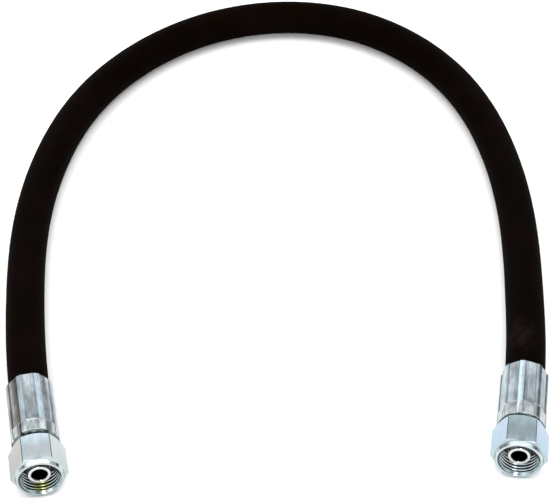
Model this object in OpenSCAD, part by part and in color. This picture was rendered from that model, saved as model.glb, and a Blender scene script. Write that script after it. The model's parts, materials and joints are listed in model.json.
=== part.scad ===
// Hydraulic hose assembly: a two-braid rubber hose, laid in an arch on a flat surface,
// with a crimped swivel fitting on each end. Millimetres, +Z up, the surface at z = 0,
// both mouths towards -Y. The origin is on the surface, midway between the two fittings.

/* [Hose] */
// Bore of the hose
hose_bore_d = 8; // [7.6:0.1:8.4]
// Wall of the inner rubber tube
lining_t = 1.5; // [1.2:0.05:1.8]
// Thickness of one layer of wire braid
braid_t = 0.6; // [0.4:0.05:0.8]
// Rubber between the two braids
insulation_t = 0.4; // [0.2:0.05:0.6]
// Wall of the outer rubber cover
cover_t = 0.9; // [0.7:0.05:1.3]

/* [Lay of the hose] */
// Front line of the left fitting, across
left_x = -92.2; // [-96:0.1:-88]
// Front line of the left fitting, along
left_y = -11; // [-16:0.1:-6]
// Turn of the left fitting about the vertical
left_lean = 10.8; // [6:0.1:14]
// Front line of the right fitting, across
right_x = 93.3; // [89:0.1:97]
// Front line of the right fitting, along
right_y = -1.6; // [-6:0.1:4]
// Turn of the right fitting about the vertical
right_lean = -8.7; // [-12:0.1:-5]

/* [Ferrule] */
// Length of the left ferrule, which grows a little as it is crimped
left_ferrule_len = 30.3; // [28:0.1:33]
// Length of the right ferrule
right_ferrule_len = 28.7; // [28:0.1:33]
// How far the left ferrule stops behind the front line of its fitting
left_setback = 0.9; // [0:0.1:1.2]
// Diameter over the ridges between the crimp flats
ferrule_d = 19; // [18.6:0.1:19.6]
// Across opposite crimp flats
crimp_af = 17.6; // [17.4:0.1:18.3]
// Across opposite flats of the lightly crimped front band
band_af = 18.5; // [18.2:0.1:18.6]
// How far the lightly crimped front band reaches behind the fitting's front line
band_len = 6.3; // [5:0.1:7]
// Length of the slope between the crimp flats and that band
ledge_len = 0.7; // [0.3:0.1:1.5]
// Width of the flat that a crimping die leaves
die_w = 4.9; // [4.5:0.1:5.6]
// Bevel of both ends of the ferrule
ferrule_edge = 0.3; // [0.2:0.05:0.6]
// Number of crimping dies
dies = 8; // [8:1:8]
// Bore of the ferrule over the hose, after crimping
ferrule_bore_d = 15.2; // [14.9:0.1:15.6]
// Depth of the grip grooves in the ferrule's bore
grip_depth = 0.35; // [0.2:0.05:0.45]
// Pitch of the grip grooves
grip_pitch = 3.4; // [3:0.1:4]
// Reach of the inward flange that locks on the nipple, behind the fitting's front line
flange_t = 4; // [3.4:0.1:4.5]
// Turn of the left ferrule's flats about its axis
left_crimp_turn = 0; // [0:1:45]
// Turn of the right ferrule's flats about its axis
right_crimp_turn = 32; // [0:1:45]

/* [Nipple] */
// Bore through the nipple
nipple_bore_d = 6; // [5.4:0.1:6.2]
// Diameter over the barbs of the tail
tail_d = 8.8; // [8.6:0.1:9.2]
// Length of the tail, from the collar to its tip
tail_len = 22.4; // [20:0.1:23]
// Height of each barb
barb_h = 0.35; // [0.2:0.05:0.45]
// Pitch of the barbs
barb_pitch = 4; // [3:0.1:5]
// Diameter of the collar that the hose butts against
collar_d = 11.2; // [10.6:0.1:11.8]
// Thickness of that collar
collar_t = 1.6; // [1.2:0.1:2]
// Diameter of the neck inside the ferrule's flange
neck_d = 9.4; // [8.8:0.1:10]
// Diameter of the spigot that the nut turns on
spigot_d = 12.2; // [12:0.1:12.4]
// Diameter of the straight land at the nose
land_d = 8.9; // [8.7:0.1:9.2]
// Length of that land
land_len = 1.2; // [1:0.1:1.5]
// Half angle of the sealing cone
cone_half = 12; // [12:1:12]
// Depth of the nose behind the nut's front face
nose_recess = 2.3; // [1.6:0.1:3]
// Rounding of the nose
nose_round = 0.4; // [0.2:0.05:0.6]
// Slack of the O-ring's groove along the fitting
groove_slack = 0.5; // [0.2:0.05:0.8]

/* [Seal and retaining wire] */
// Inner diameter of the O-ring
o_ring_id = 7.5; // [7.4:0.1:7.8]
// Thickness of the O-ring
o_ring_t = 1.5; // [1.4:0.1:1.6]
// O-ring's distance behind the land
o_ring_back = 2; // [1.6:0.1:2.4]
// Thickness of the retaining wire
wire_t = 1.8; // [1.4:0.1:2]
// Arc that the retaining wire covers
wire_arc = 330; // [300:5:340]

/* [Nut] */
// Across flats
nut_af = 19; // [18.8:0.1:19.2]
// Length of the nut
nut_len = 15.8; // [15:0.1:17]
// Diameter of the rear face, inside its chamfer
nut_face_d = 16.8; // [16.4:0.1:17.8]
// Rear chamfer, from the end face
nut_chamfer = 37; // [25:1:45]
// Length of the turned lip in front of the hexagon
lip_len = 1.5; // [1:0.1:2]
// Diameter of the lip at the hexagon
lip_root_d = 18.8; // [18.4:0.1:18.8]
// Diameter of the lip at the mouth
lip_d = 18; // [17.4:0.1:18.2]
// Slope of the hexagon's front corners, from the end face
shoulder_slope = 10; // [5:1:25]
// Thread's nominal diameter
thread_d = 16; // [15.8:0.1:16.2]
// Thread's pitch
thread_pitch = 1.5; // [1.25:0.05:1.6]
// Diameter of the countersunk mouth
mouth_d = 16.4; // [16.2:0.1:16.8]
// Width of the relief behind the thread
relief_w = 1.2; // [1:0.1:1.6]
// Depth of the relief below the thread's nominal diameter
relief_depth = 0.15; // [0.1:0.05:0.3]
// Length of the nut's land on the spigot
rear_land = 4.4; // [4:0.1:5]
// Free space between the fitting's front line and the nut
nut_gap = 0.8; // [0.5:0.1:1.2]

/* [Fits] */
// Radial running clearance of the nut on its spigot and wire
swivel_gap = 0.07; // [0.03:0.01:0.1]
// Clearance between pieces that are pressed or crimped together
fit_gap = 0.05; // [0.02:0.01:0.08]

/* [Hidden] */
$fn = 96;

hose_r = hose_bore_d / 2 + lining_t + 2 * braid_t + insulation_t + cover_t;
axis_h = max(nut_af, ferrule_d) / 2;          // height of both fittings' axes
sides = 12;                                   // of each hose layer
over = 1;                                     // a cut's reach past the face it opens
groove_share = 0.6;                           // share of the grip pitch that a groove takes
barb_share = 0.8;                             // share of the barb pitch that a barb rises over
nose_step = 15;                               // degrees between the points of the nose's rounding

// Stations along a fitting, from its front line, where the flange ends, towards the mouth
left_rim = -left_setback - left_ferrule_len;
right_rim = -right_ferrule_len;
flange_back = -flange_t;
collar_front = flange_back - fit_gap;
collar_back = collar_front - collar_t;
hose_end = collar_back - fit_gap;
tail_tip = collar_back - tail_len;
spigot_back = nut_gap / 3;
nut_back = nut_gap;
wire_at = nut_back + rear_land / 2;
land_front = nut_back + rear_land;
thread_back = land_front + relief_w;
nut_front = nut_back + nut_len;
nose_front = nut_front - nose_recess;
cone_front = nose_front - land_len;
cone_back = cone_front - (spigot_d - land_d) / 2 / tan(cone_half);
o_ring_at = cone_front - o_ring_back;

// Radii
minor_drop = 1.0825;                          // nominal less minor diameter, in pitches
minor_r = (thread_d - minor_drop * thread_pitch) / 2;
relief_r = thread_d / 2 + relief_depth;
nut_bore_r = spigot_d / 2 + swivel_gap;
wire_ring_r = nut_bore_r - swivel_gap / 2;    // the wire lies half in the nut, half in the spigot
wire_seat_r = wire_t / 2 + swivel_gap;
o_ring_ring_r = (o_ring_id + o_ring_t) / 2;
flange_r = neck_d / 2 + fit_gap;

// Route of the hose on the surface, from the left ferrule to the right one
free_route = [
    [-105, 69], [-108, 118], [-103.5, 168], [-89, 215], [-64, 251.5], [-32, 275], [5.5, 283.5],
    [36, 277], [63, 258], [84.5, 227.5], [99.5, 180], [104.5, 125], [102.5, 75]
];
rim_lift = 0.35;                              // share of the rims' lift left at the next point
last_free = len(free_route) - 1;
function free_z(i) = hose_r + (i == 0 || i == last_free ? rim_lift * (axis_h - hose_r) : 0);
function along(front, lean, station) = front + station * [sin(lean), -cos(lean), 0];
left_front = [left_x, left_y, axis_h];
right_front = [right_x, right_y, axis_h];
route = concat(
    [for (z = [hose_end, left_rim]) along(left_front, left_lean, z)],
    [for (i = [0:last_free]) [free_route[i].x, free_route[i].y, free_z(i)]],
    [for (z = [right_rim, hose_end]) along(right_front, right_lean, z)]
);
last = len(route) - 1;

// Radii of the hose's layers, from the bore outwards, to the middle of a side. Inside a
// ferrule the whole wall is squeezed between the nipple's tail and the ferrule's bore.
lining_r = hose_bore_d / 2 + lining_t;
inner_braid_r = lining_r + braid_t;
outer_braid_r = inner_braid_r + insulation_t;
free_radii = [hose_bore_d / 2, lining_r, inner_braid_r, outer_braid_r, outer_braid_r + braid_t, hose_r];
squeezed_bore = tail_d / 2 + fit_gap;
end_outer = (ferrule_bore_d / 2 - fit_gap) * cos(180 / sides);
rim_outer = (end_outer + hose_r) / 2;
ferrule_bore_r = ferrule_bore_d / 2;
rim_bore_r = rim_outer / cos(180 / sides) + fit_gap;
function squeezed(k, outer) =
    squeezed_bore + (free_radii[k] - free_radii[0]) / (hose_r - free_radii[0]) * (outer - squeezed_bore);
function layer_r(k, i) =
    i == 0 || i == last ? squeezed(k, end_outer)
    : i == 1 || i == last - 1 ? squeezed(k, rim_outer)
    : free_radii[k];

// A ring lies square to the mean of the two runs that meet at its point. It is widened
// across the bend by the mitre, so that the walls keep their thickness along each run.
function unit(v) = v / norm(v);
function run(i) = unit(route[min(i, last - 1) + 1] - route[min(i, last - 1)]);
function tangent(i) = unit(run(max(i - 1, 0)) + run(i));
function across(i) = unit([-tangent(i).y, tangent(i).x, 0]);
function mitre(i) = 1 / (tangent(i) * run(i));
function ring(i, r) = [
    for (k = [0:sides - 1])
        let (a = (k + 0.5) * 360 / sides, q = r / cos(180 / sides))
        route[i] + q * cos(a) * mitre(i) * across(i) + q * sin(a) * cross(tangent(i), across(i))
];

// One layer of the hose: two tubes of rings, joined at both ends
module hose_layer(k) {
    outer = [for (i = [0:last]) each ring(i, layer_r(k + 1, i))];
    inner = [for (i = [0:last]) each ring(i, layer_r(k, i))];
    all = len(outer);
    function at(i, j) = i * sides + j % sides;
    walls = [
        for (i = [0:last - 1], j = [0:sides - 1])
            each [
                [at(i, j), at(i + 1, j), at(i, j + 1)],
                [at(i, j + 1), at(i + 1, j), at(i + 1, j + 1)],
                [all + at(i, j), all + at(i, j + 1), all + at(i + 1, j)],
                [all + at(i, j + 1), all + at(i + 1, j + 1), all + at(i + 1, j)]
            ]
    ];
    ends = [
        for (j = [0:sides - 1])
            each [
                [at(0, j), at(0, j + 1), all + at(0, j)],
                [at(0, j + 1), all + at(0, j + 1), all + at(0, j)],
                [at(last, j), all + at(last, j), at(last, j + 1)],
                [at(last, j + 1), all + at(last, j), all + at(last, j + 1)]
            ]
    ];
    polyhedron(points = concat(outer, inner), faces = concat(walls, ends));
}

// Places a fitting, drawn along +Z from its front line with local +Y upwards
module at_left() {
    translate(left_front) rotate([0, 0, left_lean]) rotate([90, 0, 0]) children();
}
module at_right() {
    translate(right_front) rotate([0, 0, right_lean]) rotate([90, 0, 0]) children();
}

// What one crimping die leaves: a flat along the ferrule, and a slope up to the front band
module die_mark(rim) {
    deep = crimp_af / 2;
    shallow = band_af / 2;
    outside = ferrule_d / 2 + over;
    rotate([90, 0, 90]) linear_extrude(die_w, center = true) polygon([
        [deep, rim - over], [deep, -band_len - ledge_len], [shallow, -band_len],
        [shallow, over], [outside, over], [outside, rim - over]
    ]);
}

// A turned sleeve with the marks of the dies round it. Its bore opens towards the rear rim,
// where the hose is still at its full size, and saw-tooth grooves in it bite into the hose.
module ferrule(rim, front, turn) {
    outer_r = ferrule_d / 2;
    opening = (rim_bore_r - ferrule_bore_r) / (hose_end - rim);
    grooves = floor((hose_end - rim) / grip_pitch) - 1;
    function bore_at(z) = ferrule_bore_r + opening * (hose_end - z);
    color("#c3ccd0") difference() {
        rotate_extrude() polygon([
            [0, rim], [outer_r - ferrule_edge, rim], [outer_r, rim + ferrule_edge],
            [outer_r, front - ferrule_edge], [outer_r - ferrule_edge, front], [0, front]
        ]);
        for (i = [0:dies - 1])
            rotate(turn + i * 360 / dies) die_mark(rim);
        rotate_extrude() polygon(concat(
            [[0, rim - over], [bore_at(rim - over), rim - over]],
            [
                for (i = [grooves:-1:1])
                    let (a = hose_end - i * grip_pitch, b = a + groove_share * grip_pitch)
                    each [[bore_at(a), a], [bore_at(a) + grip_depth, a], [bore_at(b), b]]
            ],
            [
                [ferrule_bore_r, hose_end], [ferrule_bore_r, flange_back], [flange_r, flange_back],
                [flange_r, over], [0, over]
            ]
        ));
    }
}

// The nipple in one revolved profile: barbed tail, collar, neck in the ferrule's flange,
// spigot that the nut turns on, sealing cone, and the rounded nose
module nipple() {
    bore_r = nipple_bore_d / 2;
    barb_r = tail_d / 2;
    root_r = barb_r - barb_h;
    barbs = floor(tail_len / barb_pitch);
    groove_w = o_ring_t + groove_slack;
    color("#cfd6d9") difference() {
        rotate_extrude() polygon(concat(
            [[bore_r, tail_tip]],
            [
                for (i = [0:barbs - 1])
                    let (a = tail_tip + i * barb_pitch, b = a + barb_share * barb_pitch)
                    each [[root_r, a], [barb_r, b], [root_r, b]]
            ],
            [
                [root_r, collar_back], [collar_d / 2, collar_back], [collar_d / 2, collar_front],
                [neck_d / 2, collar_front], [neck_d / 2, spigot_back], [spigot_d / 2, spigot_back],
                [spigot_d / 2, cone_back], [land_d / 2, cone_front]
            ],
            [
                for (a = [0:nose_step:90])
                    [land_d / 2 - nose_round * (1 - cos(a)), nose_front - nose_round * (1 - sin(a))]
            ],
            [[bore_r + nose_round, nose_front], [bore_r, nose_front - nose_round]]
        ));
        translate([0, 0, o_ring_at - groove_w / 2]) difference() {
            cylinder(h = groove_w, d = spigot_d);
            translate([0, 0, -over]) cylinder(h = groove_w + 2 * over, r = o_ring_id / 2 - fit_gap);
        }
        wire_seat();
    }
}

// Ring-shaped channel for the retaining wire, cut half in the nut and half in the spigot
module wire_seat() {
    translate([0, 0, wire_at]) rotate_extrude() translate([wire_ring_r, 0]) circle(r = wire_seat_r, $fn = 32);
}

module o_ring() {
    color("#1a1a1a") translate([0, 0, o_ring_at])
        rotate_extrude() translate([o_ring_ring_r, 0]) circle(d = o_ring_t, $fn = 32);
}

module retaining_wire() {
    color("#9aa0a3") translate([0, 0, wire_at])
        rotate_extrude(angle = wire_arc) translate([wire_ring_r, 0]) circle(d = wire_t, $fn = 32);
}

module swivel_nut() {
    corner_r = nut_af / 2 / cos(30);
    rear_slope = (corner_r - nut_face_d / 2) * tan(nut_chamfer);
    front_slope = (corner_r - lip_root_d / 2) * tan(shoulder_slope);
    countersink = mouth_d / 2 - minor_r;
    color("#d3dadd") difference() {
        translate([0, 0, nut_back]) intersection() {
            cylinder(h = nut_len, r = corner_r, $fn = 6);
            rotate_extrude() polygon([
                [0, 0], [nut_face_d / 2, 0], [corner_r, rear_slope],
                [corner_r, nut_len - lip_len - front_slope], [lip_root_d / 2, nut_len - lip_len],
                [lip_d / 2, nut_len], [0, nut_len]
            ]);
        }
        rotate_extrude() polygon([
            [0, nut_back - over], [nut_bore_r, nut_back - over], [nut_bore_r, land_front],
            [relief_r, land_front], [relief_r, thread_back], [minor_r, thread_back + relief_r - minor_r],
            [minor_r, nut_front - countersink], [mouth_d / 2 + over, nut_front + over],
            [0, nut_front + over]
        ]);
        wire_seat();
    }
}

module hose_inner_tube() { color("#2a2725") hose_layer(0); }
module hose_inner_braid() { color("#b39a5e") hose_layer(1); }
module hose_insulation() { color("#33302e") hose_layer(2); }
module hose_outer_braid() { color("#b39a5e") hose_layer(3); }
module hose_cover() { color("#171413") hose_layer(4); }

hose_inner_tube();
hose_inner_braid();
hose_insulation();
hose_outer_braid();
hose_cover();
at_left() ferrule(left_rim, -left_setback, left_crimp_turn);  // left_ferrule
at_left() nipple();  // left_nipple
at_left() o_ring();  // left_o_ring
at_left() retaining_wire();  // left_retaining_wire
at_left() swivel_nut();  // left_swivel_nut
at_right() ferrule(right_rim, 0, right_crimp_turn);  // right_ferrule
at_right() nipple();  // right_nipple
at_right() o_ring();  // right_o_ring
at_right() retaining_wire();  // right_retaining_wire
at_right() swivel_nut();  // right_swivel_nut
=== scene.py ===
# Hydraulic hose assembly: the looks of a wire-braided rubber hose with a crimped swivel fitting on each end.
# Every surface is worked out on a grid with numpy; lengths of the fittings are in millimetres until they are placed.
import json
import math

import bpy
import numpy as np
from mathutils import Matrix, Vector


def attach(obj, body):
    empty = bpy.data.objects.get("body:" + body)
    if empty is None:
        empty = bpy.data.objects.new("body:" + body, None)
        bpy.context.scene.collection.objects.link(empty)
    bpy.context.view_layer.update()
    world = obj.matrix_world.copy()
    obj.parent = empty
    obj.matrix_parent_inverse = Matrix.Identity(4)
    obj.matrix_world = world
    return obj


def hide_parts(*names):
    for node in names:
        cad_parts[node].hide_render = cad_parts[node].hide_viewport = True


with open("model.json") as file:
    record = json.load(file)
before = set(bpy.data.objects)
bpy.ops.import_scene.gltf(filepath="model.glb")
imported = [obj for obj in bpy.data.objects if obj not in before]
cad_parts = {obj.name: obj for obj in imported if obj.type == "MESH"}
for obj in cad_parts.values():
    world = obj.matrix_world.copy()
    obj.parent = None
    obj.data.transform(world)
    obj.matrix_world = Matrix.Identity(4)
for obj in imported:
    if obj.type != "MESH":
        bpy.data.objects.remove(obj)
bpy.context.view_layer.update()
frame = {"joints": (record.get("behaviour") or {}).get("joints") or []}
millimetre = 0.001

studio = {
    "cameraPlace": (0.0006, -0.4746, 0.5142),
    "cameraTilt": 48.8,          # degrees from straight down
    "cameraRange": (0.01, 20),   # the nearest and the farthest that it sees, in metres
    "focalPixels": 1790,         # focal length in pixels of a frame 560 wide
    "frameWidth": 560,
    "filmWidth": 36,
    "floorSize": 8,
    "floorDrop": 0.0001,         # how far the floor lies under what rests on it
    "floorColour": "#f6f6f6",
    "floorRoughness": 0.9,
}

# Soft lights and dark screens round the object, far away. Azimuth 0 is straight behind it, 90 to the camera's right
# and 180 behind the camera. Each is an oval patch with half sizes "wide" and "high"; the angles are in degrees. It
# has its full strength out to the share "core" of them and fades to nothing at its rim; below zero it darkens.
room = {"colour": "#ffffff", "level": 1.05, "least": 0.03}
patches = {
    # name: azimuth, elevation, wide, high, core, strength, colour
    "overheadBox": (0, 84, 80, 32, 0.65, 2.2, "#ffffff"),
    "backLeftBox": (-12, 38, 14, 8, 0.5, 0.75, "#eaf4ff"),
    "backRightShade": (14, 50, 14, 10, 0.5, -0.42, "#ffffff"),
    "rightBox": (27, 33, 11, 9, 0.5, 0.6, "#e4f2ff"),
    "leftBox": (-42, 36, 11, 10, 0.5, 0.45, "#e4f2ff"),
    "leftWall": (-34, 15, 9, 14, 0.5, 0.35, "#ffffff"),
    "backHorizon": (-2, 5, 24, 13, 0.5, 4.6, "#ffffff"),
    "leftScreen": (-58, 4, 12, 15, 0.6, -0.62, "#f4f8ff"),
    "leftFarScreen": (-82, 24, 17, 9, 0.6, -0.8, "#ffffff"),
    "rightScreen": (57, 6, 12, 12, 0.65, -1.25, "#fff8ee"),
    "rightFarScreen": (80, 22, 15, 9, 0.6, -0.8, "#ffffff"),
    "rightWall": (37, 8, 11, 13, 0.4, -0.5, "#fff8f0"),
    "cameraScreen": (172, 46, 45, 20, 0.5, -0.75, "#ffffff"),
    "frontLeftBox": (208, 30, 17, 14, 0.6, 0.9, "#ffffff"),
    "frontPanel": (180, 8, 60, 12, 0.6, 0.5, "#ffffff"),
    "frontStrip": (180, 30, 6, 30, 0.5, 9, "#ffffff"),
}


# sRGB hex to the linear values that shaders take.
def linear(hexColour, alpha=1.0):
    channels = [int(hexColour[i:i + 2], 16) / 255 for i in (1, 3, 5)]
    return (*[c / 12.92 if c <= 0.04045 else ((c + 0.055) / 1.055) ** 2.4 for c in channels], alpha)


# Links a node's inputs to sockets, or sets them.
def setInputs(tree, node, inputs):
    for socket, value in inputs.items():
        if isinstance(value, bpy.types.NodeSocket):
            tree.links.new(value, node.inputs[socket])
        else:
            node.inputs[socket].default_value = value


# Adds one node, with its settings and its inputs.
def addNode(tree, kind, inputs=None, **settings):
    node = tree.nodes.new("ShaderNode" + kind)
    for name, value in settings.items():
        setattr(node, name, value)
    setInputs(tree, node, inputs or {})
    return node


def startMaterial(name):
    material = bpy.data.materials.new(name)
    material.use_nodes = True
    return material, material.node_tree, material.node_tree.nodes["Principled BSDF"]


def makeCamera():
    data = bpy.data.cameras.new("studioCamera")
    data.sensor_width = studio["filmWidth"]
    data.lens = studio["focalPixels"] * studio["filmWidth"] / studio["frameWidth"]
    data.clip_start, data.clip_end = studio["cameraRange"]
    camera = bpy.data.objects.new("studioCamera", data)
    camera.location = studio["cameraPlace"]
    camera.rotation_euler = (math.radians(studio["cameraTilt"]), 0, 0)
    bpy.context.scene.collection.objects.link(camera)
    bpy.context.scene.camera = camera


# The surroundings: an even room plus the patches. A direction's place in a patch is its difference from the
# patch's middle, turned into the patch's own axes and divided by its half sizes, so that the rim has length 1.
def lightRoom():
    world = bpy.data.worlds.new("studioRoom")
    world.use_nodes = True
    bpy.context.scene.world = world
    tree = world.node_tree
    tree.nodes.clear()
    direction = addNode(tree, "TexCoord").outputs["Generated"]
    total = tuple(room["level"] * c for c in linear(room["colour"])[:3])
    for name, (azimuth, elevation, wide, high, core, strength, colour) in patches.items():
        azimuth, elevation, wide, high = (math.radians(angle) for angle in (azimuth, elevation, wide, high))
        towards = Vector((math.sin(azimuth) * math.cos(elevation), math.cos(azimuth) * math.cos(elevation),
                          math.sin(elevation)))
        aside = Vector((math.cos(azimuth), -math.sin(azimuth), 0))
        turned = Matrix((aside, towards.cross(aside), towards)).transposed().to_euler()
        spot = addNode(tree, "Mapping", {
            "Vector": direction, "Location": towards, "Rotation": turned,
            "Scale": (math.sin(wide), math.sin(high), 1)}, vector_type="TEXTURE", label=name)
        distance = addNode(tree, "VectorMath", {0: spot.outputs[0]}, operation="LENGTH").outputs["Value"]
        share = addNode(tree, "MapRange", {"Value": distance, "From Min": 1, "From Max": core, "To Max": strength},
                        interpolation_type="SMOOTHSTEP").outputs["Result"]
        total = addNode(tree, "VectorMath", {0: share, 1: linear(colour)[:3], 2: total},
                        operation="MULTIPLY_ADD").outputs[0]
    total = addNode(tree, "VectorMath", {0: total, 1: (room["least"],) * 3}, operation="MAXIMUM").outputs[0]
    light = addNode(tree, "Background", {"Color": total})
    addNode(tree, "OutputWorld", {"Surface": light.outputs[0]})


# Plain uncoated paper gives an even, matt white without any highlight.
def layFloor():
    half, level = studio["floorSize"] / 2, -studio["floorDrop"]
    mesh = bpy.data.meshes.new("floor")
    mesh.from_pydata([(-half, -half, level), (half, -half, level), (half, half, level), (-half, half, level)],
                     [], [(0, 1, 2, 3)])
    floor = bpy.data.objects.new("floor", mesh)
    bpy.context.scene.collection.objects.link(floor)
    paper, tree, shader = startMaterial("whitePaper")
    setInputs(tree, shader, {"Base Color": linear(studio["floorColour"]), "Roughness": studio["floorRoughness"],
                             "Specular IOR Level": 0})
    mesh.materials.append(paper)


makeCamera()
lightRoom()
layFloor()
bpy.context.scene.view_settings.view_transform = "Standard"
print("studio set")


# A closed surface from a grid of points, rows by columns. The columns close on themselves; the rows do too,
# unless openRows is true, and then each end gets a flat cap. The enclosed volume, a sum of a . (b x c) over the
# faces, tells which way round the faces point outwards.
def gridPiece(name, points, body, node, material, uv=None, place=None, openRows=False, marks=None):
    rows, columns = points.shape[:2]
    flat = points.reshape(-1, 3)
    index = np.arange(rows * columns).reshape(rows, columns)
    below, right = np.roll(index, -1, axis=0), np.roll(index, -1, axis=1)
    quads = np.stack([index, right, np.roll(below, -1, axis=1), below], axis=-1)
    if openRows:
        quads = quads[:-1]
    faces = quads.reshape(-1, 4)
    a, b, c, d = (flat[faces[:, i]] for i in range(4))
    volume = np.sum(a * np.cross(b, c)) + np.sum(a * np.cross(c, d))
    corners = [(0, 0), (0, 1), (1, 1), (1, 0)]
    if volume < 0:
        faces, corners = faces[:, ::-1], corners[::-1]
    mesh = bpy.data.meshes.new(name)
    mesh.vertices.add(len(flat))
    mesh.vertices.foreach_set("co", flat.astype(np.float32).ravel())
    ends = []
    if openRows:
        ends = [index[0][::-1], index[-1]] if volume > 0 else [index[0], index[-1][::-1]]
    loops = np.concatenate([faces.ravel(), *ends])
    mesh.loops.add(len(loops))
    mesh.loops.foreach_set("vertex_index", loops.astype(np.int32))
    starts = np.concatenate([np.arange(len(faces)) * 4, faces.size + np.arange(len(ends)) * columns])
    mesh.polygons.add(len(starts))
    mesh.polygons.foreach_set("loop_start", starts.astype(np.int32))
    if uv is not None:
        alongRows, roundColumns = uv
        i, j = np.meshgrid(np.arange(len(quads)), np.arange(columns), indexing="ij")
        layer = np.zeros((len(loops), 2), np.float32)
        layer[:faces.size] = np.stack([
            np.stack([alongRows[i + di], roundColumns[j + dj]], axis=-1) for di, dj in corners
        ], axis=2).reshape(-1, 2)
        mesh.uv_layers.new(name="turns").data.foreach_set("uv", layer.ravel())
    mesh.update(calc_edges=True)
    mesh.validate()
    mesh.shade_smooth()
    for attribute, values in (("place", place), ("marks", marks)):
        if values is not None:
            mesh.attributes.new(attribute, "FLOAT_VECTOR", "POINT").data.foreach_set(
                "vector", values.astype(np.float32).ravel())
    piece = bpy.data.objects.new(name, mesh)
    bpy.context.scene.collection.objects.link(piece)
    mesh.materials.append(material)
    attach(piece, body)
    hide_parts(node)
    return piece


# Rounds the corners of closed outlines, all at once: the last two axes are the corners and (radius, height).
# Each corner becomes a short curve that starts and ends "cut" away from it on its two sides, worked out as
# (1-t)^2 start + 2t(1-t) corner + t^2 end, and never takes more than the share "most" of a side.
def roundOutline(corners, cuts, steps=5, most=0.45):
    before = np.roll(corners, 1, axis=-2) - corners
    after = np.roll(corners, -1, axis=-2) - corners
    lengthBefore = np.linalg.norm(before, axis=-1, keepdims=True)
    lengthAfter = np.linalg.norm(after, axis=-1, keepdims=True)
    cut = np.asarray(cuts, float)[:, None]
    start = corners + before / lengthBefore * np.minimum(cut, most * lengthBefore)
    end = corners + after / lengthAfter * np.minimum(cut, most * lengthAfter)
    t = np.linspace(0, 1, steps)[:, None]
    curve = ((1 - t) ** 2 * start[..., None, :] + 2 * t * (1 - t) * corners[..., None, :]
             + t ** 2 * end[..., None, :])
    return curve.reshape(*corners.shape[:-2], -1, 2)


# The two fittings. Stations along one count from its front line, at the ferrule's front, to the mouth.
fittings = {
    "swivelPoint": 8.7,          # station of the nut's joint
    "left": {
        "rim": -31.2, "ferruleFront": -0.9, "crimpTurn": 0,
        # from the top clockwise, all painted light: a tint of painted shade and reflection on each die's face, the
        # painted highlight and the painted shade on each ridge, and the painted shade in each corner between them,
        # where more than 1 makes it wider; for the nut, a tint of painted shade and reflection on each of its six flats
        "faceShade": (0, 0.15, 0.1, 0.2, 0.1, 0.2, 0.9, 0.9),
        "ridgeHighlight": (0.9, 0.1, 0, 0.2, 0.1, 0, 0.1, 0.5),
        "ridgeShade": (0, 0, 0.2, 0.1, 0.1, 0.1, 0.9, 0.1),
        "paintedShade": (0.35, 0.25, 0.5, 0.3, 0.5, 0.4, 0.5, 0.4, 0.5, 0.4, 0.5, 0.4, 1.5, 0.8, 5, 0.2),
        "nutFaceShade": (0, 0.57, 0.5, 0.5, 0.8, 1),
    },
    "right": {
        "rim": -28.7, "ferruleFront": 0, "crimpTurn": 32,
        "faceShade": (0, 0.1, 0.5, 0.2, 0.1, 0.2, 0.1, 0.2),
        "ridgeHighlight": (1, 0.2, 0, 0.2, 0.1, 0, 0.1, 0.3),
        "ridgeShade": (0, 0, 0.2, 0.1, 0.1, 0.1, 0.2, 0),
        "paintedShade": (0.5, 0.55, 0.55, 2.2, 0.5, 0.4, 0.5, 0.4, 0.5, 0.4, 0.5, 0.4, 0.5, 0.4, 0.45, 0.5),
        "nutFaceShade": (0, 1, 0.5, 0.3, 0.5, 0.8),
    },
}

for side in ("left", "right"):
    joint = next(j for j in frame["joints"] if j["child"] == side + "_nut")
    outward = np.array(joint["axis"]) / np.linalg.norm(joint["axis"])
    fittings[side]["outward"] = outward
    fittings[side]["front"] = np.array(joint["pos_m"]) - outward * fittings["swivelPoint"] * millimetre
    fittings[side]["across"] = np.cross([0, 0, 1], outward)


# Turns (radius, station) profiles, rows by columns of the angle, into points: the angle is counted from straight
# up towards the side of "across". Gives the placed points in metres and the fitting's own ones in millimetres.
def placeOnFitting(side, radius, station, angle):
    own = np.stack([radius * np.sin(angle), radius * np.cos(angle), np.broadcast_to(station, radius.shape)], axis=-1)
    spot = fittings[side]
    placed = (spot["front"] + own[..., 0:1] * millimetre * spot["across"]
              + own[..., 1:2] * millimetre * np.array([0, 0, 1]) + own[..., 2:3] * millimetre * spot["outward"])
    return placed, own


# The patterns that every bright zinc plate has: streaks along the fitting from drawing and crimping, clouds in the
# plate's tint, and rubbed spots, shifted so that they don't follow the streaks. Sizes are in millimetres.
zincPatterns = {
    "streaks": {"size": 0.3, "length": 22, "shift": (0, 0, 0), "detail": 3, "roughness": 0.6},
    "clouds": {"size": 3.2, "length": 5.76, "shift": (0, 0, 0), "detail": 4, "roughness": 0.6},
    "rubs": {"size": 1.1, "length": 3.3, "shift": (7, 3, 5), "detail": 3, "roughness": 0.65},
}
zincPlate = {
    # tint of the painted shade in corners, gaps and hollows
    "paintedShadeTint": "#20282b",
    "streakPale": 0.6,               # how much paler a streak gets, as a share of how much darker
    "streakGloss": (1.35, 0.75),     # factors on the roughness in a streak's two extremes
    "dentShare": 3,                  # depth of the clouds' dents, as a share of the streaks' depth
    "bandStart": (-7.2, -6.6),       # stations between which the rubs grow stronger towards the front band
    "bandRubs": 1.5,                 # by this share of their strength
    "grain": 0.12,                   # real grain is about 0.02 mm, and finer than this it wouldn't show
    "grainDepth": 0.004,
    "grainStrength": 0.25,
}
# Nearly all values of a noise lie between these limits, and the narrower ones give a pattern harder edges.
noiseLimits = {"shade": (0.36, 0.64), "clouds": (0.38, 0.62), "gloss": (0.3, 0.7)}


# The scale of a noise whose blobs have a given size: a blob is half of its period.
def noiseScale(size):
    return 0.5 / size


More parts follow.
